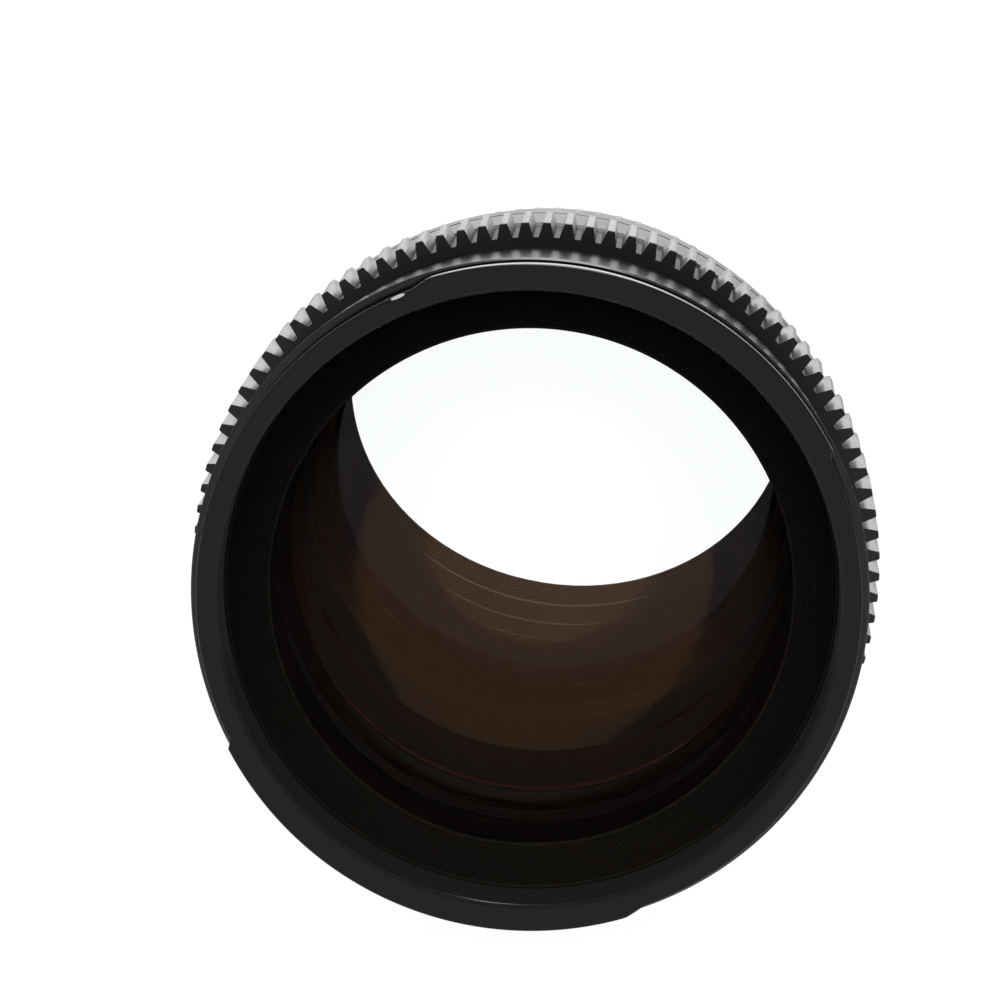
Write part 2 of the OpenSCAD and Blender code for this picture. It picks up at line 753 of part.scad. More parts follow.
// Light tube in the spigot, with a stepped cone inside that stops stray light
module rear_baffle() {
  outer = spigot_in - fit_gap;
  tube_r = rear_open_r + tube_step;
  steps = 5;
  front = rear_back + fit_gap;
  sunk = 0.6;
  mouth_step = 3.7;
  slope = 0.6;
  shelf = spigot_back - sunk;
  back = spigot_back + tube_len;
  front_in = outer - mouth_step;
  fall = (front_in - rear_open_r) / steps;
  rise = (back - front) / steps;
  inside = [for (i = [steps - 1:-1:0]) each [
    [front_in - (i + 1) * fall, front + (i + 1) * rise], [front_in - i * fall, front + (i + slope) * rise]]];
  color(dark) place() lathe(concat([[front_in, front], [outer, front], [outer, shelf], [tube_r, shelf],
    [tube_r, back - chamfer], [tube_r - chamfer, back]], inside));
}

module mount_index_dot() {
  color("#b3201c") place()
    radial_pin(dot_r, flange_r - dot_deep, flange_r - dot_sunk, dot_depth, dot_angle);
}

// Turning sleeve with three helical slots
module focus_cam_sleeve() {
  color(brass) place() difference() {
    tube(sleeve_in, sleeve_r, gear_front, sleeve_back);
    for (a = roller_angles) helix_slot(a);
    for (a = set_screw_angles)
      radial_pin(set_screw_r + fit_gap, sleeve_r - set_screw_deep, sleeve_r + over, set_screw_depth, a);
  }
}

module focus_gear() {
  color(black) place() gear_ring(focus_teeth, focus_pitch_r, focus_ring_in, gear_front, gear_back);
}

// Plain ring behind the focus gear that carries the distance scale
module focus_ring() {
  front = gear_back + fit_gap;
  color(black) place() difference() {
    lathe([[focus_ring_in, front], [focus_ring_r - chamfer, front], [focus_ring_r, front + chamfer],
      [focus_ring_r, focus_back - chamfer], [focus_ring_r - chamfer, focus_back],
      [focus_ring_in, focus_back]]);
    for (a = set_screw_angles)
      radial_pin(set_screw_r + fit_gap, focus_ring_in - over, focus_ring_r + over, set_screw_depth, a);
  }
}

module focus_set_screws() {
  color(dark) place() for (a = set_screw_angles)
    radial_pin(set_screw_r, sleeve_r - set_screw_deep + fit_gap, focus_ring_r - set_screw_sunk,
      set_screw_depth, a);
}

// Sliding cell for the rear glass: a tube with three roller ears in front and a guide land behind
module focus_cell() {
  ear_tail = 2;
  ear_back = roller_depth + roller_r + ear_tail;
  seat_w = 1.2;
  seat_lip = 0.8;
  seat_r = e6_rad - seat_lip;
  seat_front = e6_front_rim - seat_w;
  seat_back = e6_front_rim - fit_gap;
  color(dark) place() difference() {
    union() {
      lathe([[e4_clear, focus_cell_front], [cell_tube_r, focus_cell_front], [cell_tube_r, land_front],
        [cell_r, land_front], [cell_r, focus_cell_back], [e6_rad + fit_gap, focus_cell_back],
        [e6_rad + fit_gap, seat_back], [seat_r, seat_back - chamfer],
        [seat_r, seat_front], [e4_rad + fit_gap, seat_front], [e4_rad + fit_gap, e4_rim - fit_gap],
        [e4_clear, e4_rim - fit_gap]]);
      for (a = roller_angles) ring_sector(cell_tube_r - over, cell_r, focus_cell_front, ear_back,
        a - ear_half, a + ear_half);
    }
    for (a = roller_angles)
      radial_pin(roller_r + fit_gap, roller_seat_r, cell_r + over, roller_depth, a);
  }
}

module fourth_element() {
  color(glass) place()
    element(e4_rad, e4_front, -e4_front_curve, e4_back, 0, e4_rim, e4_back);
}

module fifth_element() {
  color(glass) place()
    element(e4_rad, e4_back, 0, e5_back, -e5_back_curve, e4_back, e5_back);
}

module sixth_element() {
  color(glass) place()
    element(e6_rad, e6_front, e6_front_curve, e6_back, -e6_back_curve, e6_front, e6_back);
}

// Threaded ring that holds the last element in the sliding cell, with two wrench slots
module cell_retaining_ring() {
  wrench_w = 1.2;
  color(dark) place() difference() {
    tube(retainer_in, e6_rad, retainer_front, focus_cell_back);
    for (a = [0, 180]) rotate([0, 0, a]) translate([e6_rad, 0, -focus_cell_back])
      cube([retainer_w, wrench_w, wrench_w], center = true);
  }
}

// Three rollers that run in the straight slots and the helical slots
module cam_rollers() {
  sunk = 0.3;
  color(brass) place() for (a = roller_angles)
    radial_pin(roller_r, roller_seat_r + fit_gap, sleeve_r - sunk, roller_depth, a);
}

// Iris ring: a plain band with a thin sleeve behind it that carries the gear
module iris_ring() {
  color(black) place() difference() {
    lathe([[iris_in, iris_front], [iris_ring_r - chamfer, iris_front], [iris_ring_r, iris_front + chamfer],
      [iris_ring_r, iris_gear_front - fit_gap], [iris_sleeve_r, iris_gear_front - fit_gap],
      [iris_sleeve_r, iris_back], [iris_in, iris_back]]);
    radial_pin(drive_pin_r + fit_gap, bore_r, iris_ring_r + over, drive_pin_depth, tab_angle);
    for (a = iris_screw_angles)
      radial_pin(iris_screw_r + fit_gap, bore_r, iris_ring_r + over, iris_screw_depth, a);
  }
}

module iris_gear() {
  color(black) place() difference() {
    gear_ring(iris_teeth, iris_pitch_r, iris_gear_in, iris_gear_front, iris_back);
    for (a = iris_screw_angles)
      radial_pin(iris_screw_r + fit_gap, bore_r, iris_pitch_r + 3 * tooth_top, iris_screw_depth, a);
  }
}

module iris_set_screws() {
  color(dark) place() for (a = iris_screw_angles)
    radial_pin(iris_screw_r, iris_in + iris_screw_clear, iris_pitch_r - tooth_foot, iris_screw_depth, a);
}

// Pin from the iris ring, through the barrel's arc slot, into the cam ring's fork
module iris_drive_pin() {
  sunk = 0.2;
  color(steel) place()
    radial_pin(drive_pin_r, tab_in + chamfer, iris_ring_r - sunk, drive_pin_depth, tab_angle);
}

// Ring with eight curved slots and a forked tab that reaches back to the iris ring
module iris_cam_ring() {
  pin_half = drive_pin_r + run_gap;
  color(brass) place() difference() {
    union() {
      tube(cam_in, cell_r, cam_front, cam_back);
      ring_sector(tab_in, tab_out, cam_front, tab_back, tab_angle - tab_half, tab_angle + tab_half);
    }
    translate([0, 0, -cam_back]) for (i = [0:blade_count - 1]) rotate([0, 0, i * 360 / blade_count])
      translate([0, 0, -fit_gap]) linear_extrude(cam_t + 2 * fit_gap) cam_slot();
    rotate([0, 0, tab_angle]) translate([tab_in - over, -pin_half, -tab_back - over])
      cube([tab_out - tab_in + 2 * over, 2 * pin_half, tab_end_wall + drive_pin_r + over]);
    radial_pin(pin_half, tab_in - over, tab_out + over, drive_pin_depth, tab_angle);
  }
}

filter_ring();
name_ring();
front_cell();
front_element();
front_spacer();
second_element();
third_element();
main_barrel();
front_barrel();
iris_base_plate();
iris_cover_ring();
index_ring();
rear_barrel();
mount_ring();
mount_screws();
rear_baffle();
mount_index_dot();
focus_cam_sleeve();
focus_gear();
focus_ring();
focus_set_screws();
focus_cell();
fourth_element();
fifth_element();
sixth_element();
cell_retaining_ring();
cam_rollers();
iris_ring();
iris_gear();
iris_drive_pin();
iris_set_screws();
iris_cam_ring();
blade(1);  // iris_blade_1
blade(2);  // iris_blade_2
blade(3);  // iris_blade_3
blade(4);  // iris_blade_4
blade(5);  // iris_blade_5
blade(6);  // iris_blade_6
blade(7);  // iris_blade_7
blade(8);  // iris_blade_8
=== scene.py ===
import math

import bmesh
import bpy
from mathutils import Matrix, Vector


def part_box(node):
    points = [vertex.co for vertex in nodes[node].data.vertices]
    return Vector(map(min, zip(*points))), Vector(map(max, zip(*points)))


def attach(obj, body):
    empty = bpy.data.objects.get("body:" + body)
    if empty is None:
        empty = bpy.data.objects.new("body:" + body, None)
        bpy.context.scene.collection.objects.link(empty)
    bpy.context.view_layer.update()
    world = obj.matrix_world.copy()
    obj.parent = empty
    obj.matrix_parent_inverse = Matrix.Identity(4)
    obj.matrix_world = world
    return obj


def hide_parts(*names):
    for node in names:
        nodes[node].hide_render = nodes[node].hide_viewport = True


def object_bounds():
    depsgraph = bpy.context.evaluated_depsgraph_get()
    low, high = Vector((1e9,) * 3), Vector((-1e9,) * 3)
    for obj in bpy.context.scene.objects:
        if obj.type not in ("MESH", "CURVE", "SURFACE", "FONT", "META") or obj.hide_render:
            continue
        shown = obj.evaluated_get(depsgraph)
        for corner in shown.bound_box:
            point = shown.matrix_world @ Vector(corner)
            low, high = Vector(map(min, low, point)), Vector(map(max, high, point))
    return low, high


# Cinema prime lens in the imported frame: metres, optical axis along Y, front towards -Y
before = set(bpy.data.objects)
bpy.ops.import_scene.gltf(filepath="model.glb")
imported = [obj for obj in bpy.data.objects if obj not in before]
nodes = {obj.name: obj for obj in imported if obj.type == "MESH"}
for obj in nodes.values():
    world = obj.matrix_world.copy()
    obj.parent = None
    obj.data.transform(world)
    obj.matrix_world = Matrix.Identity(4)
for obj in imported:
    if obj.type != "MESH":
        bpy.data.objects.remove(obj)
cadLow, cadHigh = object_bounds()
mm = 0.001
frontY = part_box("filter_ring")[0].y
scene = bpy.context.scene
print("frame loaded:", len(nodes), "nodes")


def depthRange(node):
    # Front and back of a CAD node, in mm behind the front face
    low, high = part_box(node)
    return (low.y - frontY) / mm, (high.y - frontY) / mm


def outerRadius(node):
    low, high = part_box(node)
    return (high.x - low.x) / 2 / mm


def polar(radius, depth, angle):
    # Point at a clock angle, in radians anticlockwise as seen from the front
    return Vector((radius * mm * math.cos(angle), frontY + depth * mm, radius * mm * math.sin(angle)))


# Materials
# Size of the patches where a finish is a little rougher or smoother, in mm
wearMm = 9


def linear(hexText):
    # sRGB hex to linear colour
    parts = [int(hexText[i:i + 2], 16) / 255 for i in (1, 3, 5)]
    return [p / 12.92 if p <= 0.04045 else ((p + 0.055) / 1.055) ** 2.4 for p in parts] + [1]


def addNode(tree, kind, settings=None, links=None):
    # One node with its settings and the sockets that feed it
    node = tree.nodes.new(kind)
    for key, value in (settings or {}).items():
        if isinstance(key, str) and hasattr(node, key):
            setattr(node, key, value)
        else:
            node.inputs[key].default_value = value
    for key, source in (links or {}).items():
        tree.links.new(source, node.inputs[key])
    return node


def newTree(name):
    material = bpy.data.materials.new(name)
    material.use_nodes = True
    tree = material.node_tree
    tree.nodes.clear()
    return material, tree


def axisDistance(tree, place):
    # Distance of a point from the lens axis
    flat = addNode(tree, "ShaderNodeVectorMath", {"operation": "MULTIPLY", 1: (1, 0, 1)}, {0: place})
    length = addNode(tree, "ShaderNodeVectorMath", {"operation": "LENGTH"}, {0: flat.outputs[0]})
    return length.outputs["Value"]


def turnedFinish(name, settings):
    # Turned and blasted metal or paint: fine lathe lines round the axis over a fine grain
    material, tree = newTree(name)
    place = addNode(tree, "ShaderNodeTexCoord").outputs["Object"]
    parts = addNode(tree, "ShaderNodeSeparateXYZ", None, {0: place})
    section = addNode(
        tree, "ShaderNodeCombineXYZ", None, {"X": axisDistance(tree, place), "Y": parts.outputs["Y"]})
    lines = addNode(
        tree, "ShaderNodeTexNoise", {"Scale": 1 / (settings["lineMm"] * mm), "Detail": 2},
        {"Vector": section.outputs[0]})
    grain = addNode(
        tree, "ShaderNodeTexNoise", {"Scale": 1 / (settings["grainMm"] * mm), "Detail": 3}, {"Vector": place})
    wear = addNode(tree, "ShaderNodeTexNoise", {"Scale": 1 / (wearMm * mm), "Detail": 4}, {"Vector": place})
    spread = settings.get("spread", 0.06)
    rough = addNode(
        tree, "ShaderNodeMapRange",
        {"To Min": settings["roughness"] - spread, "To Max": settings["roughness"] + spread},
        {"Value": wear.outputs[0]})
    lineBump = addNode(
        tree, "ShaderNodeBump", {"Strength": 1, "Distance": settings["lineDeep"] * mm},
        {"Height": lines.outputs[0]})
    grainBump = addNode(
        tree, "ShaderNodeBump", {"Strength": 1, "Distance": settings["grainDeep"] * mm},
        {"Height": grain.outputs[0], "Normal": lineBump.outputs[0]})
    shader = addNode(
        tree, "ShaderNodeBsdfPrincipled",
        {"Base Color": linear(settings["colour"]), "Metallic": settings.get("metallic", 0),
         "Specular IOR Level": settings.get("specular", 0.5)},
        {"Roughness": rough.outputs[0], "Normal": grainBump.outputs[0]})
    addNode(tree, "ShaderNodeOutputMaterial", None, {"Surface": shader.outputs[0]})
    return material


def plainFinish(name, settings):
    material, tree = newTree(name)
    place = addNode(tree, "ShaderNodeTexCoord").outputs["Object"]
    grain = addNode(
        tree, "ShaderNodeTexNoise", {"Scale": 1 / (settings["grainMm"] * mm), "Detail": 3}, {"Vector": place})
    bump = addNode(
        tree, "ShaderNodeBump", {"Strength": 1, "Distance": settings["grainDeep"] * mm},
        {"Height": grain.outputs[0]})
    shader = addNode(
        tree, "ShaderNodeBsdfPrincipled",
        {"Base Color": linear(settings["colour"]), "Metallic": settings.get("metallic", 0),
         "Roughness": settings["roughness"], "Specular IOR Level": settings.get("specular", 0.5)},
        {"Normal": bump.outputs[0]})
    addNode(tree, "ShaderNodeOutputMaterial", None, {"Surface": shader.outputs[0]})
    return material


def bladeFinishWithPaintedHighlight(name, settings):
    # Plain finish with a painted highlight: reddish brown along the edge that bounds the light, standing in
    # for light caught on that edge
    material = plainFinish(name, settings)
    tree = material.node_tree
    place = addNode(tree, "ShaderNodeTexCoord").outputs["Object"]
    # Painted highlight: inside this radius the blade is reddish brown
    film = addNode(
        tree, "ShaderNodeMapRange",
        {"From Min": settings["edgeFrom"] * mm, "From Max": settings["edgeTo"] * mm},
        {"Value": axisDistance(tree, place)})
    # Colour sockets of the mix node: 6 and 7 go in, 2 comes out
    mixed = addNode(
        tree, "ShaderNodeMix",
        {"data_type": "RGBA", 6: linear(settings["paintedHighlightColour"]), 7: linear(settings["colour"])},
        {0: film.outputs[0]})
    tree.links.new(mixed.outputs[2], tree.nodes["Principled BSDF"].inputs["Base Color"])
    return material


def coatedGlass(name, settings):
    # Optical glass; the coating leaves a faint tinted reflection
    material, tree = newTree(name)
    shader = addNode(
        tree, "ShaderNodeBsdfPrincipled",
        {"Base Color": linear(settings["colour"]), "Roughness": 0, "IOR": settings["index"],
         "Transmission Weight": 1, "Specular Tint": linear(settings["coating"])})
    addNode(tree, "ShaderNodeOutputMaterial", None, {"Surface": shader.outputs[0]})
    return material


finishes = {
    # Satin black anodised aluminium, outside
    "barrel_black": turnedFinish("satin black anodised aluminium", {
        "colour": "#1b1815", "roughness": 0.36, "lineMm": 0.25, "lineDeep": 0.0008,
        "grainMm": 0.12, "grainDeep": 0.001, "specular": 0.3}),
    # The front ring is finer turned and a little warmer
    "front_black": turnedFinish("fine turned black anodised aluminium", {
        "colour": "#1b160f", "roughness": 0.14, "lineMm": 0.25, "lineDeep": 0.0003,
        "grainMm": 0.12, "grainDeep": 0.0004, "specular": 0.2, "spread": 0.03}),
    # The front barrel is polished before it is anodised, so it mirrors the gear behind it
    "smooth_black": turnedFinish("polished black anodised aluminium", {
        "colour": "#141211", "roughness": 0.17, "lineMm": 0.25, "lineDeep": 0.00004,
        "grainMm": 0.2, "grainDeep": 0.00003, "specular": 0.35, "spread": 0.02}),
    # The cut teeth are a little glossier than the barrels
    "gear_black": turnedFinish("cut black anodised aluminium", {
        "colour": "#151413", "roughness": 0.27, "lineMm": 0.3, "lineDeep": 0.0006,
        "grainMm": 0.12, "grainDeep": 0.001, "specular": 0.38}),
    # The cutter leaves the tooth gaps duller
    "gap_black": turnedFinish("dull black anodised aluminium", {
        "colour": "#151413", "roughness": 0.5, "lineMm": 0.3, "lineDeep": 0.0006,
        "grainMm": 0.12, "grainDeep": 0.001, "specular": 0.2}),
    # Matt black paint on the ring round the glass
    "grooved_black": turnedFinish("matt black grooved paint", {
        "colour": "#302c28", "roughness": 0.7, "lineMm": 0.2, "lineDeep": 0.001,
        "grainMm": 0.1, "grainDeep": 0.002, "specular": 0}),
    # Dull optical black inside the cells
    "inner_black": turnedFinish("dull optical black", {
        "colour": "#0b0a09", "roughness": 0.6, "lineMm": 0.4, "lineDeep": 0.002,
        "grainMm": 0.1, "grainDeep": 0.0008, "specular": 0.03}),
    # The cones by the front glass swallow the light
    "cone_black": turnedFinish("flocked optical black", {
        "colour": "#1a1614", "roughness": 0.8, "lineMm": 0.5, "lineDeep": 0.004,
        "grainMm": 0.1, "grainDeep": 0.004, "specular": 0}),
    # The sliding cell is coloured a dark bronze as painted light, standing in for the brownish glow of light
    # seen deep inside the lens
    "cell_painted_glow": turnedFinish("dark bronze with painted glow", {
        "colour": "#3d2a1b", "roughness": 0.7, "lineMm": 0.4, "lineDeep": 0.002,
        "grainMm": 0.1, "grainDeep": 0.001, "specular": 0}),
    # Turned brass, lightly oxidised
    "brass": turnedFinish("turned brass", {
        "colour": "#b08d4a", "metallic": 1, "roughness": 0.3, "lineMm": 0.15, "lineDeep": 0.001,
        "grainMm": 0.3, "grainDeep": 0.0006}),
    # Brass of the cam sleeve and rollers, blackened so that it does not shine between the rings
    "dark_brass": turnedFinish("blackened brass", {
        "colour": "#2a2216", "metallic": 0.5, "roughness": 0.5, "lineMm": 0.15, "lineDeep": 0.001,
        "grainMm": 0.3, "grainDeep": 0.0006}),
    # Bright steel pin and screws
    "steel": turnedFinish("bright steel", {
        "colour": "#b9bbbd", "metallic": 1, "roughness": 0.28, "lineMm": 0.1, "lineDeep": 0.0006,
        "grainMm": 0.3, "grainDeep": 0.0004}),
    # Blackened steel set screws
    "black_steel": plainFinish("blackened steel", {
        "colour": "#161617", "metallic": 0.6, "roughness": 0.4, "grainMm": 0.1, "grainDeep": 0.001}),
    # Chromed brass mount with fine turning lines
    "mount_chrome": turnedFinish("hard chromed mount", {
        "colour": "#c4c5c6", "metallic": 1, "roughness": 0.22, "lineMm": 0.12, "lineDeep": 0.0007,
        "grainMm": 0.4, "grainDeep": 0.0003}),
    # Red enamel dot
    "red_dot": plainFinish("red enamel", {
        "colour": "#b3201c", "roughness": 0.25, "grainMm": 0.4, "grainDeep": 0.001}),
    # Dry-film black on the spring steel blades, with a painted reddish highlight along the edge that bounds
    # the light
    "blade_black": bladeFinishWithPaintedHighlight("dry film black", {
        "colour": "#1c1817", "paintedHighlightColour": "#802a16", "edgeFrom": 20.2, "edgeTo": 20.35, "roughness": 0.6,
        "specular": 0, "grainMm": 0.08, "grainDeep": 0.001}),
}
# Black lacquer on the ground edges of the glass
edgeBlack = plainFinish("edge blackening lacquer", {
    "colour": "#050505", "roughness": 0.5, "specular": 0.2, "grainMm": 0.08, "grainDeep": 0.002})
# Paint in the engraved figures
scaleFill = plainFinish("off-white engraving paint", {
    "colour": "#c9c7c0", "roughness": 0.55, "grainMm": 0.06, "grainDeep": 0.002})
# Brighter paint for the hood mark
whiteFill = plainFinish("white enamel", {
    "colour": "#f6f4f0", "roughness": 0.55, "grainMm": 0.06, "grainDeep": 0.002})

slotOfNode = {
    "barrel_black": ["filter_ring", "front_barrel", "focus_ring", "index_ring", "iris_ring", "rear_barrel"],
    "gear_black": ["focus_gear", "iris_gear"],
    "grooved_black": ["name_ring"],
    "inner_black": ["main_barrel", "iris_cover_ring", "rear_baffle", "cell_retaining_ring"],
    "cone_black": ["front_cell", "front_spacer", "iris_base_plate"],
    "cell_painted_glow": ["focus_cell"],
    # The sliding cell takes the painted glow colour
    "brass": ["iris_cam_ring"],
    "dark_brass": ["focus_cam_sleeve", "cam_rollers"],
    "steel": ["mount_screws", "iris_drive_pin"],
    "black_steel": ["focus_set_screws", "iris_set_screws"],
    "mount_chrome": ["mount_ring"],
    "red_dot": ["mount_index_dot"],
    "blade_black": [f"iris_blade_{i}" for i in range(1, 9)],
}
for slotName, names in slotOfNode.items():
    for name in names:
        nodes[name].data.materials.clear()
        nodes[name].data.materials.append(finishes[slotName])
print("materials made")


# Meshes
def addPiece(name, mesh, material, body, replaced=()):
    piece = bpy.data.objects.new(name, mesh)
    scene.collection.objects.link(piece)
    if material:
        mesh.materials.clear()
        mesh.materials.append(material)
    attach(piece, body)
    if replaced:
        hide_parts(*replaced)
    return piece


def finishMesh(bm, name, angle=32):
    bmesh.ops.remove_doubles(bm, verts=bm.verts, dist=1e-7)
    bmesh.ops.dissolve_degenerate(bm, edges=bm.edges, dist=1e-7)
    bmesh.ops.recalc_face_normals(bm, faces=bm.faces)
    mesh = bpy.data.meshes.new(name)
    bm.to_mesh(mesh)
    bm.free()
    mesh.shade_smooth()
    mesh.set_sharp_from_angle(angle=math.radians(angle))
    return mesh


def eased(points, size):
    # Rounds each corner of a closed outline, with a support point on either side
    result = []
    count = len(points)
    for i in range(count):
        here = Vector(points[i])
        before = Vector(points[i - 1]) - here
        after = Vector(points[(i + 1) % count]) - here
        turn = before.angle(after)
        reach = min(size, before.length / 4, after.length / 4)
        if turn > math.radians(170) or reach < 0.01:
            result.append(here)
            continue
        first = before.normalized()
        last = after.normalized()
        result.append(here + first * reach * 1.8)
        for t in (0, 0.25, 0.5, 0.75, 1):
            result.append(here + first * reach * (1 - t) ** 2 + last * reach * t ** 2)
        result.append(here + last * reach * 1.8)
    return result


def latheMesh(name, points, segments, ease):
    # Closed ring turned from an outline of [radius, depth] points in mm
    outline = eased(points, ease)
    bm = bmesh.new()
    columns = []
    for j in range(segments):
        angle = 2 * math.pi * j / segments
        columns.append([bm.verts.new(polar(p[0], p[1], angle)) for p in outline])
    count = len(outline)
    for j in range(segments):
        here = columns[j]
        there = columns[(j + 1) % segments]
        for k in range(count):
            n = (k + 1) % count
            bm.faces.new((here[k], there[k], there[n], here[n]))
    return finishMesh(bm, name)


# Front ring: hood lugs outside, filter thread inside
frontRing = {
    "boreR": 35.6, "neckR": 37.2, "ringR": 38.05, "lugR": 38.7, "lugW": 1.6, "length": 9.8,
    "chamfer": 0.4, "edge": 0.16, "ease": 0.08, "columns": 480,
    "lugFrom": 27, "lugTo": 107, "fromSpread": 1.2, "toSpread": 3.5,
    "markClock": 113, "markHalf": 2.6, "markSpread": 0.9,
    "pitch": 0.75, "threadDeep": 0.406, "threadStart": 0.45, "threadEnd": 8.05,
}


def frontRingRadius(degrees):
    # Outer radius of the front ring, higher over the two hood lugs, which run out slowly at one end
    s = frontRing
    along = (degrees - s["lugFrom"] + s["fromSpread"]) % 180 - s["fromSpread"]
    rise = 1 + along / s["fromSpread"]
    fall = 1 - (along - s["lugTo"] + s["lugFrom"]) / s["toSpread"]
    return s["ringR"] + max(0, min(1, rise, fall)) * (s["lugR"] - s["ringR"])


def frontRingEdge(degrees):
    # The outer edge is cut back a little under the hood mark
    s = frontRing
    away = abs((degrees - s["markClock"] + 180) % 360 - 180)
    cut = max(0, min(1, (s["markHalf"] - away) / s["markSpread"]))
    return s["edge"] + cut * (s["chamfer"] - s["edge"])


def buildFrontRing():
    s = frontRing
    # Thread form over one pitch: crest, flank, root, flank
    form = [(0, 0), (0.25, 0), (0.5625, 1), (0.6875, 1)]
    turns = math.ceil((s["threadEnd"] - s["threadStart"]) / s["pitch"]) + 2
    offsets = [((turn + f[0]) * s["pitch"], f[1]) for turn in range(turns) for f in form]
    bm = bmesh.new()
    outer = []
    inner = []
    for j in range(s["columns"]):
        angle = 2 * math.pi * j / s["columns"]
        edge = frontRingRadius(math.degrees(angle))
        c = s["chamfer"]
        e = frontRingEdge(math.degrees(angle))
        outline = [
            (s["boreR"], s["length"]), (s["boreR"], c), (s["boreR"] + c, 0), (edge - e, 0), (edge, e),
            (edge, s["lugW"]), (s["neckR"], s["lugW"]), (s["neckR"], s["length"])]
        section = eased(outline, s["ease"])
        # The bore side of the outline is left out: the thread takes its place
        near = min(range(len(section)), key=lambda i: (section[i] - Vector((s["boreR"] + c, 0))).length)
        section = section[near:]
        outer.append([bm.verts.new(polar(p[0], p[1], angle)) for p in section])
        back = bm.verts.new(polar(s["boreR"], s["length"], angle))
        thread = [back]
        for offset, height in offsets:
            depth = s["threadEnd"] + s["pitch"] - offset - s["pitch"] * j / s["columns"]
            inside = s["threadStart"] < depth < s["threadEnd"]
            depth = max(s["threadStart"], min(s["threadEnd"], depth))
            radius = s["boreR"] + (height * s["threadDeep"] if inside else 0)
            thread.append(bm.verts.new(polar(radius, depth, angle)))
        inner.append(thread)
    count = s["columns"]
    lastThread = len(inner[0]) - 1
    for j in range(count):
        n = (j + 1) % count
        shift = len(form) if n == 0 else 0
        for k in range(len(outer[j]) - 1):
            bm.faces.new((outer[j][k], outer[n][k], outer[n][k + 1], outer[j][k + 1]))
        bm.faces.new((outer[j][-1], outer[n][-1], inner[n][0], inner[j][0]))
        for k in range(lastThread):
            a = k + shift if k else 0
            b = k + 1 + shift
            first = inner[n][min(a, lastThread)]
            second = inner[n][min(b, lastThread)]
            corners = [inner[j][k], first, second, inner[j][k + 1]]
            unique = list(dict.fromkeys(corners))
            if len(unique) > 2:
                bm.faces.new(unique)
        if shift:
            for k in range(shift):
                corners = [inner[n][0], inner[n][k + 1], inner[n][k]]
                unique = list(dict.fromkeys(corners))
                if len(unique) > 2 and k:
                    bm.faces.new(unique)
        bm.faces.new((inner[j][lastThread], inner[n][lastThread], outer[n][0], outer[j][0]))
    return finishMesh(bm, "frontRing")


addPiece("frontRing", buildFrontRing(), finishes["front_black"], "barrel", ["filter_ring"])
print("front ring made")

# Grooved ring round the front glass
grooved = {
    "inner": 30.3, "outer": 35.56, "land": 0.3, "grooves": 16, "deep": 0.22, "seat": 31.04,
    "segments": 360, "ease": 0.02,
}


def buildGrooved():
    s = grooved
    front, back = depthRange("name_ring")
    pitch = (s["outer"] - s["inner"] - 2 * s["land"]) / s["grooves"]
    points = [(s["inner"], front)]
    for i in range(s["grooves"]):
        start = s["inner"] + s["land"] + i * pitch
        points.append((start, front))
        points.append((start + pitch / 2, front + s["deep"]))
    points += [(s["outer"] - s["land"], front), (s["outer"], front), (s["outer"], back),
               (s["seat"], back), (s["inner"], (front + back) / 2)]
    return latheMesh("groovedRing", points, s["segments"], s["ease"])


addPiece("groovedRing", buildGrooved(), finishes["grooved_black"], "barrel", ["name_ring"])


# Front barrel: bores and steps that the box doesn't give
def ringOutline(node, inner, chamfer):
    front, back = depthRange(node)
    outer = outerRadius(node)
    return [(inner, front), (outer - chamfer, front), (outer, front + chamfer), (outer, back - chamfer),
            (outer - chamfer, back), (inner, back)]


frontBarrel = {
    "counterbore": 37.24, "seat": 35.24, "step": 9.84, "edge": 0.24, "draft": 1.15,
    "segments": 480, "ease": 0.04,
}


def buildFrontBarrel():
    s = frontBarrel
    outline = ringOutline("front_barrel", s["counterbore"], s["edge"])
    # The barrel narrows towards the gear
    for i in (3, 4):
        outline[i] = (outline[i][0] - s["draft"], outline[i][1])
    outline[-1] = (s["seat"], outline[-1][1])
    outline += [(s["seat"], s["step"]), (s["counterbore"], s["step"])]
    return latheMesh("frontBarrel", outline, s["segments"], s["ease"])


addPiece("frontBarrel", buildFrontBarrel(), finishes["smooth_black"], "barrel",
         ["front_barrel"])
print("barrel rings made")

# Toothed rings: one pitch of the ring is turned about the axis as often as there are teeth
gears = {
    "focusTeeth": {"node": "focus_gear", "teeth": 100, "pitchR": 40, "bore": 37.0, "body": "focus"},
    "irisTeeth": {"node": "iris_gear", "teeth": 92, "pitchR": 36.8, "bore": 35.1, "body": "iris"},
}
# Tip and foot are half widths as shares of the half pitch; footDeep is in modules below the pitch circle
toothForm = {
    "module": 0.8, "footDeep": 1.25, "tip": 0.333, "foot": 0.74, "chamfer": 0.1, "ease": 0.1, "sharp": 28,
    "floorBand": 0.05,
}


def rootRadius(s):
    return s["pitchR"] - toothForm["footDeep"] * toothForm["module"]


# Points of neighbouring copies closer than this are one point, in mm
mergeMm = 0.002


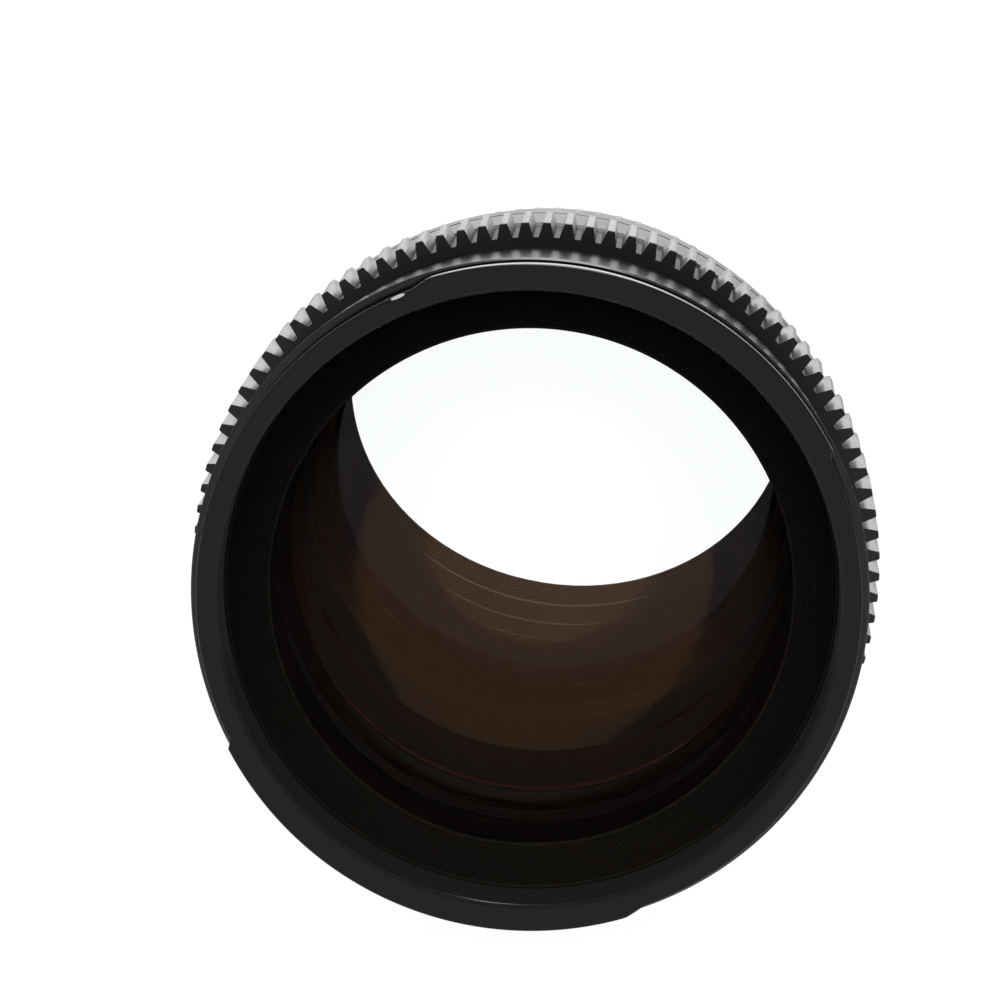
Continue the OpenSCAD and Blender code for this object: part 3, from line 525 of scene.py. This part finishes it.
def copiesTree():
    # Copies turned round the axis, joined where they meet
    tree = bpy.data.node_groups.new("turned copies", "GeometryNodeTree")
    interface = tree.interface
    interface.new_socket("Geometry", in_out="INPUT", socket_type="NodeSocketGeometry")
    interface.new_socket("Copies", in_out="INPUT", socket_type="NodeSocketInt")
    interface.new_socket("Step", in_out="INPUT", socket_type="NodeSocketFloat")
    interface.new_socket("Start", in_out="INPUT", socket_type="NodeSocketFloat")
    interface.new_socket("Finish", in_out="INPUT", socket_type="NodeSocketMaterial")
    interface.new_socket("Geometry", in_out="OUTPUT", socket_type="NodeSocketGeometry")
    given = addNode(tree, "NodeGroupInput").outputs
    points = addNode(tree, "GeometryNodePoints", None, {"Count": given["Copies"]})
    index = addNode(tree, "GeometryNodeInputIndex")
    turn = addNode(tree, "ShaderNodeMath", {"operation": "MULTIPLY_ADD"},
                   {0: index.outputs[0], 1: given["Step"], 2: given["Start"]})
    # Clock angles run about -Y
    spin = addNode(tree, "FunctionNodeAxisAngleToRotation", {"Axis": (0, -1, 0)}, {"Angle": turn.outputs[0]})
    copies = addNode(tree, "GeometryNodeInstanceOnPoints", None, {
        "Points": points.outputs[0], "Instance": given["Geometry"], "Rotation": spin.outputs[0]})
    real = addNode(tree, "GeometryNodeRealizeInstances", None, {"Geometry": copies.outputs[0]})
    joined = addNode(
        tree, "GeometryNodeMergeByDistance", {"Distance": mergeMm * mm}, {"Geometry": real.outputs[0]})
    painted = addNode(tree, "GeometryNodeSetMaterial", None,
                      {"Geometry": joined.outputs[0], "Material": given["Finish"]})
    addNode(tree, "NodeGroupOutput", None, {"Geometry": painted.outputs[0]})
    return tree


turnedCopies = copiesTree()


def repeat(name, unit, copies, step, start, material):
    # Plain mesh of a unit repeated round the axis
    helper = bpy.data.objects.new(name + "Unit", unit)
    scene.collection.objects.link(helper)
    modifier = helper.modifiers.new("copies", "NODES")
    modifier.node_group = turnedCopies
    values = {"Copies": copies, "Step": step, "Start": start, "Finish": material}
    for item in turnedCopies.interface.items_tree:
        if item.in_out == "INPUT" and item.name in values:
            modifier[item.identifier] = values[item.name]
    helper.update_tag()
    evaluated = helper.evaluated_get(bpy.context.evaluated_depsgraph_get())
    mesh = bpy.data.meshes.new_from_object(evaluated)
    bpy.data.objects.remove(helper)
    bpy.data.meshes.remove(unit)
    mesh.name = name
    return mesh


def toothUnit(name, s):
    f = toothForm
    front, back = depthRange(s["node"])
    tip = s["pitchR"] + f["module"]
    foot = rootRadius(s)
    half = math.pi / s["teeth"]
    tipHalf = half * f["tip"]
    footHalf = half * f["foot"]
    ease = f["ease"]
    lean = (footHalf - tipHalf) * ease / (tip - foot)
    flank = [(foot, -half), (foot, -footHalf), (tip - ease, -tipHalf - lean),
             (tip - ease * 0.3, -tipHalf + ease * 0.3 / tip), (tip, -tipHalf + ease / tip)]
    outline = flank + [(r, -a) for r, a in reversed(flank)]
    stations = [(front, tip - f["chamfer"]), (front + f["chamfer"], tip), (back - f["chamfer"], tip),
                (back, tip - f["chamfer"])]
    bm = bmesh.new()
    rows = []
    for depth, limit in stations:
        rows.append([bm.verts.new(polar(min(r, limit), depth, half + a)) for r, a in outline])
    inner = []
    for depth in (front, back):
        inner.append([bm.verts.new(polar(s["bore"], depth, half + a)) for r, a in outline])
    for upper, lower in zip(rows, rows[1:]):
        for k in range(len(outline) - 1):
            bm.faces.new((upper[k], upper[k + 1], lower[k + 1], lower[k]))
    for k in range(len(outline) - 1):
        bm.faces.new((rows[0][k + 1], rows[0][k], inner[0][k], inner[0][k + 1]))
        bm.faces.new((rows[-1][k], rows[-1][k + 1], inner[1][k + 1], inner[1][k]))
        bm.faces.new((inner[0][k + 1], inner[0][k], inner[1][k], inner[1][k + 1]))
    mesh = bpy.data.meshes.new(name + "Pitch")
    bm.to_mesh(mesh)
    bm.free()
    return mesh


for name, s in gears.items():
    step = 2 * math.pi / s["teeth"]
    ring = repeat(name, toothUnit(name, s), s["teeth"], step, 0, finishes["gear_black"])
    merged = bmesh.new()
    merged.from_mesh(ring)
    bpy.data.meshes.remove(ring)
    mesh = finishMesh(merged, name, toothForm["sharp"])
    piece = addPiece(name, mesh, finishes["gear_black"], s["body"], [s["node"]])
    # The floors of the tooth gaps keep the duller finish
    piece.data.materials.append(finishes["gap_black"])
    for face in piece.data.polygons:
        outer = math.hypot(face.center.x, face.center.z) / mm
        if abs(outer - rootRadius(s)) < toothForm["floorBand"] and abs(face.normal.y) < 0.5:
            face.material_index = 1
print("gears made")


# Glass
glassGrid = {"steps": 40, "segments": 180, "sharp": 20}


def sag(curve, radius):
    # Depth of a spherical face at a radius; a negative curve leans the other way
    depth = abs(curve) - math.sqrt(curve * curve - radius * radius)
    return math.copysign(depth, curve)


def glassMesh(name, s):
    steps = glassGrid["steps"]
    segments = glassGrid["segments"]
    front = [(s["frontClear"] * i / steps, s["frontAt"]) for i in range(steps + 1)]
    front = [(r, d + (sag(s["frontCurve"], r) if s["frontCurve"] else 0)) for r, d in front]
    back = [(s["backClear"] * i / steps, s["backAt"]) for i in range(steps + 1)]
    back = [(r, d + (sag(s["backCurve"], r) if s["backCurve"] else 0)) for r, d in back]
    rim = [(s["edge"], front[-1][1]), (s["edge"], back[-1][1])]
    outline = front[1:] + [p for p in rim if p not in (front[-1], back[-1])] + back[:0:-1]
    edgeFrom = steps - 1
    edgeTo = len(outline) - steps
    bm = bmesh.new()
    frontPole = bm.verts.new(polar(0, front[0][1], 0))
    backPole = bm.verts.new(polar(0, back[0][1], 0))
    columns = []
    for j in range(segments):
        angle = 2 * math.pi * j / segments
        columns.append([bm.verts.new(polar(r, d, angle)) for r, d in outline])
    for j in range(segments):
        here = columns[j]
        there = columns[(j + 1) % segments]
        bm.faces.new((frontPole, there[0], here[0]))
        bm.faces.new((backPole, here[-1], there[-1]))
        for k in range(len(outline) - 1):
            face = bm.faces.new((here[k], there[k], there[k + 1], here[k + 1]))
            face.material_index = 1 if edgeFrom <= k < edgeTo else 0
    return finishMesh(bm, name, glassGrid["sharp"])


frontVertex = depthRange("front_element")[0]
secondVertex = depthRange("second_element")[0]
thirdVertex = depthRange("third_element")[0]
pairRim = depthRange("fourth_element")[0]
pairBack = depthRange("fifth_element")[1]
sixthVertex, sixthBack = depthRange("sixth_element")
elements = {
    "frontGlass": {
        "nodes": ["front_element"], "body": "barrel", "edge": 31, "frontAt": frontVertex, "frontCurve": 63.5,
        "frontClear": 31, "backAt": frontVertex + 9, "backCurve": 600, "backClear": 31,
        "finish": {"colour": "#ffffff", "index": 1.77, "coating": "#1f1712"}},
    "secondGlass": {
        "nodes": ["second_element"], "body": "barrel", "edge": 27.2, "frontAt": secondVertex,
        "frontCurve": 42.5, "frontClear": 27.2, "backAt": secondVertex + 9, "backCurve": 79.5,
        "backClear": 27.2,
        "finish": {"colour": "#ffffff", "index": 1.77, "coating": "#1f1813"}},
    "thirdGlass": {
        "nodes": ["third_element"], "body": "barrel", "edge": 24.4, "frontAt": thirdVertex, "frontCurve": 222,
        "frontClear": 24.4, "backAt": thirdVertex + 2.6, "backCurve": 29, "backClear": 20.6,
        "finish": {"colour": "#ffffff", "index": 1.76, "coating": "#2a1c16"}},
    # The cement between the fourth and fifth elements leaves no air, so one body stands for both
    "pairGlass": {
        "nodes": ["fourth_element", "fifth_element"], "body": "focusing_cell", "edge": 22.6,
        "frontAt": pairRim + sag(35, 19.6), "frontCurve": -35, "frontClear": 19.6, "backAt": pairBack,
        "backCurve": -41, "backClear": 22.6,
        "finish": {"colour": "#ffffff", "index": 1.78, "coating": "#84603a"}},
    "sixthGlass": {
        "nodes": ["sixth_element"], "body": "focusing_cell", "edge": 21.8, "frontAt": sixthVertex,
        "frontCurve": 100, "frontClear": 21.8, "backAt": sixthBack, "backCurve": -270, "backClear": 21.8,
        "finish": {"colour": "#ffffff", "index": 1.8, "coating": "#081230"}},
}
for name, s in elements.items():
    piece = addPiece(name, glassMesh(name, s), None, s["body"], s["nodes"])
    piece.data.materials.append(coatedGlass("coated optical glass " + name, s["finish"]))
    piece.data.materials.append(edgeBlack)
print("glass made")

# Blade shoulders: the outer edge of each blade swells where the closed iris would let light through
shoulder = {"blades": 8, "bladeR": 27.2, "middle": 101.55, "half": 10.5, "rise": 3.8, "lap": 0.4,
            "pitch": 0.25, "gap": 0.05, "thick": 0.2, "inset": 0.02, "steps": 36}


def shoulderMesh(name, level):
    s = shoulder
    front = depthRange("iris_base_plate")[1] + s["gap"] + level * s["pitch"] + s["inset"]
    back = front + s["thick"] - 2 * s["inset"]
    bm = bmesh.new()
    rows = []
    for i in range(s["steps"] + 1):
        along = 2 * i / s["steps"] - 1
        angle = math.radians(s["middle"] + along * s["half"] + level * 360 / s["blades"])
        inner = s["bladeR"] - s["lap"]
        outer = s["bladeR"] - s["lap"] / 2 + (s["rise"] + s["lap"] / 2) * math.cos(along * math.pi / 2) ** 2
        corners = ((inner, front), (outer, front), (outer, back), (inner, back))
        rows.append([bm.verts.new(polar(radius, depth, angle)) for radius, depth in corners])
    for here, there in zip(rows, rows[1:]):
        for k in range(4):
            n = (k + 1) % 4
            bm.faces.new((here[k], there[k], there[n], here[n]))
    bm.faces.new(rows[0])
    bm.faces.new(rows[-1])
    return finishMesh(bm, name)


for level in range(shoulder["blades"]):
    name = f"bladeShoulder{level + 1}"
    addPiece(name, shoulderMesh(name, level), finishes["blade_black"], f"blade_{level + 1}")
print("blade shoulders made")


# Painted marks
hoodMark = {
    "clock": frontRing["markClock"], "radius": 37.85, "depth": 0.2, "length": 1.8, "width": 0.5, "rise": 0.03,
    "points": 32,
}
# Lines end so far from a ring's edge and reach so far from it, in mm
figures = {
    "height": 2.1, "capShare": 0.7, "lift": 0.02, "tickW": 0.28, "tickThick": 0.12, "rowShift": 0.6,
    "margin": 0.6, "longReach": 2.6, "shortReach": 1.6, "indexMargin": 0.5, "stopReach": 2.4, "stopRow": 4.6,
}
# Turn of the focus ring, in degrees, that sets a distance in metres
focusLaw = {"reach": 139.6, "offset": 0.169, "footMetres": 0.3048}
focusMetres = ["10", "5", "3", "2", "1.5", "1.2", "1.1"]
focusFeet = ["30", "15", "10", "7", "5", "4"]
stops = ["1.5", "2", "2.8", "4", "5.6", "8", "11", "16", "22"]
stopStep = 7.5
indexClocks = (0, 180)
# The iris gear behind the plain band is wider than the band
irisBandR = 36.66


def buildHoodMark():
    # A spot of paint on the front ring's chamfer
    s = hoodMark
    middle = math.radians(s["clock"])
    bm = bmesh.new()
    count = s["points"]
    top = bm.verts.new(polar(s["radius"] + s["rise"], s["depth"] - s["rise"], middle))
    under = bm.verts.new(polar(s["radius"] - s["rise"], s["depth"] + s["rise"], middle))
    rim = []
    for i in range(count):
        turn = 2 * math.pi * i / count
        across = s["width"] / 2 * math.sin(turn) * math.sqrt(0.5)
        along = s["length"] / 2 * math.cos(turn) / s["radius"]
        rim.append(bm.verts.new(polar(s["radius"] + across, s["depth"] + across, middle + along)))
    for i in range(count):
        bm.faces.new((top, rim[i], rim[(i + 1) % count]))
        bm.faces.new((under, rim[(i + 1) % count], rim[i]))
    return finishMesh(bm, "hoodMark", 80)


def focusTurn(metres):
    return focusLaw["reach"] / (metres - focusLaw["offset"])


def glyphs(body):
    # Outline of a figure as a thin solid, centred on its own origin, in mm
    curve = bpy.data.curves.new("figure", "FONT")
    curve.body = body
    curve.align_x = "CENTER"
    curve.align_y = "CENTER"
    curve.size = figures["height"] / figures["capShare"]
    curve.extrude = figures["lift"]
    curve.resolution_u = 3
    helper = bpy.data.objects.new("figure", curve)
    scene.collection.objects.link(helper)
    mesh = bpy.data.meshes.new_from_object(helper.evaluated_get(bpy.context.evaluated_depsgraph_get()))
    bpy.data.objects.remove(helper)
    bpy.data.curves.remove(curve)
    return mesh


def markMesh(name, labels, ticks, radius, depth):
    # Figures and lines laid round a ring: text runs with the clock and its top points to the front
    bm = bmesh.new()
    for body, clock in labels:
        turned = body == "endless"
        part = glyphs("8" if turned else body)
        start = len(bm.verts)
        bm.from_mesh(part)
        bpy.data.meshes.remove(part)
        bm.verts.ensure_lookup_table()
        for vert in bm.verts[start:]:
            x, y, z = vert.co
            if turned:
                x, y = -y, x
            vert.co = polar(radius + z, depth - y, math.radians(clock) + x / radius)
    lift = figures["lift"]
    for clock, front, back, width in ticks:
        half = width / 2 / radius
        corners = []
        for r in (radius - lift, radius + lift):
            for d, a in ((front, -half), (front, half), (back, half), (back, -half)):
                corners.append(bm.verts.new(polar(r, d, math.radians(clock) + a)))
        for face in ((0, 1, 2, 3), (7, 6, 5, 4), (0, 4, 5, 1), (1, 5, 6, 2), (2, 6, 7, 3), (3, 7, 4, 0)):
            bm.faces.new([corners[i] for i in face])
    return finishMesh(bm, name, 40)


def addMarks():
    wide = figures["tickW"]
    thin = figures["tickThick"]
    front, back = depthRange("focus_ring")
    radius = outerRadius("focus_ring")
    row = (front + back) / 2 + figures["rowShift"]
    lineEnd = back - figures["margin"]
    scales = {
        "focusMetres": (indexClocks[0], [(t, float(t)) for t in focusMetres]),
        "focusFeet": (indexClocks[1], [(t, float(t) * focusLaw["footMetres"]) for t in focusFeet])}
    for name, (clock, marks) in scales.items():
        labels = [("endless", clock)] + [(t, clock - focusTurn(m)) for t, m in marks]
        ticks = [(c, back - figures["longReach"], lineEnd, wide) for t, c in labels]
        # Short lines between the figures
        turns = [clock - c for t, c in labels]
        for first, last in zip(turns, turns[1:]):
            for k in (1, 2, 3):
                between = clock - first - (last - first) * k / 4
                ticks.append((between, back - figures["shortReach"], lineEnd, thin))
        addPiece(name, markMesh(name, labels, ticks, radius, row), scaleFill, "focus")
    front, back = depthRange("index_ring")
    gap = figures["indexMargin"]
    lines = [(clock, front + gap, back - gap, wide) for clock in indexClocks]
    addPiece("indexLines", markMesh("indexLines", [], lines, outerRadius("index_ring"), front), scaleFill,
             "barrel")
    front = depthRange("iris_ring")[0]
    labels = []
    for clock in indexClocks:
        labels += [(t, clock - i * stopStep) for i, t in enumerate(stops)]
    ticks = [(c, front + figures["margin"], front + figures["stopReach"], wide) for t, c in labels]
    mesh = markMesh("irisStops", labels, ticks, irisBandR, front + figures["stopRow"])
    addPiece("irisStops", mesh, scaleFill, "iris")
    addPiece("hoodMark", buildHoodMark(), whiteFill, "barrel")


addMarks()
print("marks made")


# Stage
stage = {"reach": 40, "paper": "#4c4c4c", "glow": 0.985, "mirrored": 0.64}
# Places and sizes in metres, power in watts; only the gloss of the edges sees the top light
lamps = {
    "back light": {"place": (0.1, 1.6, 0.75), "size": (2.4, 1.2), "power": 13.5, "diffuse": True},
    "top light": {"place": (0.05, 0.02, 0.9), "size": (0.6, 0.5), "power": 12, "diffuse": False},
}
lampAim = (0, -0.04, 0)
# Set from the photo: a long lens, almost straight on and nine degrees above the axis; shifts in mm
view = {
    "azimuth": 2.42, "elevation": 9.38, "sensor": 36, "lens": 180, "near": 0.01, "far": 100,
    "right": 3.2, "up": 11.555, "away": 570,
}
lightBounces = 32


def buildStage():
    floorZ = cadLow.z
    mesh = bpy.data.meshes.new("floor")
    reach = stage["reach"]
    mesh.from_pydata([(-reach, -reach, floorZ), (reach, -reach, floorZ), (reach, reach, floorZ),
                      (-reach, reach, floorZ)], [], [(0, 1, 2, 3)])
    floor = bpy.data.objects.new("floor", mesh)
    scene.collection.objects.link(floor)
    material, tree = newTree("white paper")
    rays = addNode(tree, "ShaderNodeLightPath").outputs
    paper = addNode(tree, "ShaderNodeBsdfDiffuse", {"Color": linear(stage["paper"])})
    lift = addNode(
        tree, "ShaderNodeMath", {"operation": "MULTIPLY", 1: stage["glow"]}, {0: rays["Is Camera Ray"]})
    glow = addNode(tree, "ShaderNodeEmission", None, {"Strength": lift.outputs[0]})
    lit = addNode(tree, "ShaderNodeAddShader", None, {0: paper.outputs[0], 1: glow.outputs[0]})
    through = addNode(tree, "ShaderNodeMath", {"operation": "MAXIMUM"},
                      {0: rays["Is Glossy Ray"], 1: rays["Is Transmission Ray"]})
    white = addNode(tree, "ShaderNodeEmission", {"Strength": 1})
    both = addNode(tree, "ShaderNodeMixShader", None,
                   {0: through.outputs[0], 1: lit.outputs[0], 2: white.outputs[0]})
    addNode(tree, "ShaderNodeOutputMaterial", None, {"Surface": both.outputs[0]})
    mesh.materials.append(material)


def buildWorld():
    world = bpy.data.worlds.new("white room")
    scene.world = world
    world.use_nodes = True
    tree = world.node_tree
    tree.nodes.clear()
    rays = addNode(tree, "ShaderNodeLightPath").outputs
    seen = addNode(tree, "ShaderNodeMath", {"operation": "MAXIMUM"},
                   {0: rays["Is Camera Ray"], 1: rays["Is Transmission Ray"]})
    # What the rings mirror is dimmer than the paper itself
    level = addNode(
        tree, "ShaderNodeMapRange", {"To Min": stage["mirrored"], "To Max": 1}, {"Value": seen.outputs[0]})
    light = addNode(
        tree, "ShaderNodeBackground", {"Color": linear("#ffffff")}, {"Strength": level.outputs[0]})
    addNode(tree, "ShaderNodeOutputWorld", None, {"Surface": light.outputs[0]})


def addLamp(name, s):
    data = bpy.data.lights.new(name, "AREA")
    data.shape = "RECTANGLE"
    data.size, data.size_y = s["size"]
    data.energy = s["power"]
    lamp = bpy.data.objects.new(name, data)
    lamp.location = s["place"]
    lamp.visible_diffuse = s["diffuse"]
    lamp.rotation_mode = "QUATERNION"
    lamp.rotation_quaternion = (Vector(lampAim) - Vector(s["place"])).to_track_quat("-Z", "Y")
    scene.collection.objects.link(lamp)


def buildCamera():
    azimuth = math.radians(view["azimuth"])
    elevation = math.radians(view["elevation"])
    forward = Vector((-math.sin(azimuth) * math.cos(elevation), math.cos(azimuth) * math.cos(elevation),
                      -math.sin(elevation)))
    right = Vector((math.cos(azimuth), math.sin(azimuth), 0))
    up = right.cross(forward)
    data = bpy.data.cameras.new("camera")
    data.sensor_width = view["sensor"]
    data.lens = view["lens"]
    data.clip_start = view["near"]
    data.clip_end = view["far"]
    camera = bpy.data.objects.new("camera", data)
    scene.collection.objects.link(camera)
    frontCentre = Vector((0, frontY, 0))
    place = frontCentre - (right * view["right"] - up * view["up"] + forward * view["away"]) * mm
    turn = Matrix((right, up, -forward)).transposed()
    camera.matrix_world = Matrix.Translation(place) @ turn.to_4x4()
    scene.camera = camera


buildStage()
buildWorld()
for name, s in lamps.items():
    addLamp(name, s)
buildCamera()
scene.view_settings.view_transform = "Standard"
scene.cycles.max_bounces = lightBounces
scene.cycles.transmission_bounces = lightBounces
print("stage made")
